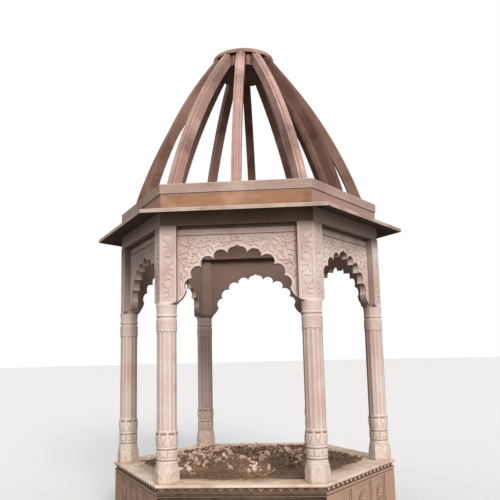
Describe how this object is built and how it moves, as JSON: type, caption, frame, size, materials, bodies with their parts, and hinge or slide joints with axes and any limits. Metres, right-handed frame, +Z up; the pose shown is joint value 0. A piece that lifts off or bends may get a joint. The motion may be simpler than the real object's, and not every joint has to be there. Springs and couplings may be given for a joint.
{
  "type": "stone gazebo",
  "caption": "Hexagonal pink sandstone pavilion with cusped arches, carved columns, a panelled plinth and an open dome of bare stone ribs.",
  "frame": {"origin": "centre of the plinth at ground level", "axes": "+Z up; -Y towards the side that the picture shows nearest; +X to the right of someone facing that side"},
  "size_m": [3.802, 3.294, 5.63],
  "materials": {
    "plinth_stone": "rubbed sandstone, dusty",
    "rim_stone": "worn sandstone, dusty",
    "rubble": "loose earth and broken stone",
    "carved_stone": "carved pink sandstone, matt",
    "soffit_stone": "sawn sandstone, matt",
    "eave_stone": "sandstone slab, weathered",
    "ashlar_stone": "tan ashlar, matt",
    "rib_stone": "chiselled pink sandstone, matt"
  },
  "bodies": {
    "root": {"plinth_wall_1": "plinth_stone", "plinth_wall_2": "plinth_stone", "plinth_wall_3": "plinth_stone", "plinth_wall_4": "plinth_stone", "plinth_wall_5": "plinth_stone", "plinth_wall_6": "plinth_stone", "floor_rim": "rim_stone", "rubble_fill": "rubble", "column_1": "carved_stone", "column_2": "carved_stone", "column_3": "carved_stone", "column_4": "carved_stone", "column_5": "carved_stone", "column_6": "carved_stone", "corner_block_1": "carved_stone", "corner_block_2": "carved_stone", "corner_block_3": "carved_stone", "corner_block_4": "carved_stone", "corner_block_5": "carved_stone", "corner_block_6": "carved_stone", "arch_panel_1": "carved_stone", "arch_panel_2": "carved_stone", "arch_panel_3": "carved_stone", "arch_panel_4": "carved_stone", "arch_panel_5": "carved_stone", "arch_panel_6": "carved_stone", "lintel_ring": "soffit_stone", "eave_ring": "eave_stone", "parapet_ring": "ashlar_stone", "coping_ring": "eave_stone", "rib_corner_1": "rib_stone", "rib_corner_2": "rib_stone", "rib_corner_3": "rib_stone", "rib_corner_4": "rib_stone", "rib_corner_5": "rib_stone", "rib_corner_6": "rib_stone", "rib_side_1": "rib_stone", "rib_side_2": "rib_stone", "rib_side_3": "rib_stone", "rib_side_4": "rib_stone", "rib_side_5": "rib_stone", "rib_side_6": "rib_stone", "crown_hub": "rib_stone", "crown_disc": "rib_stone"}
  },
  "joints": []
}
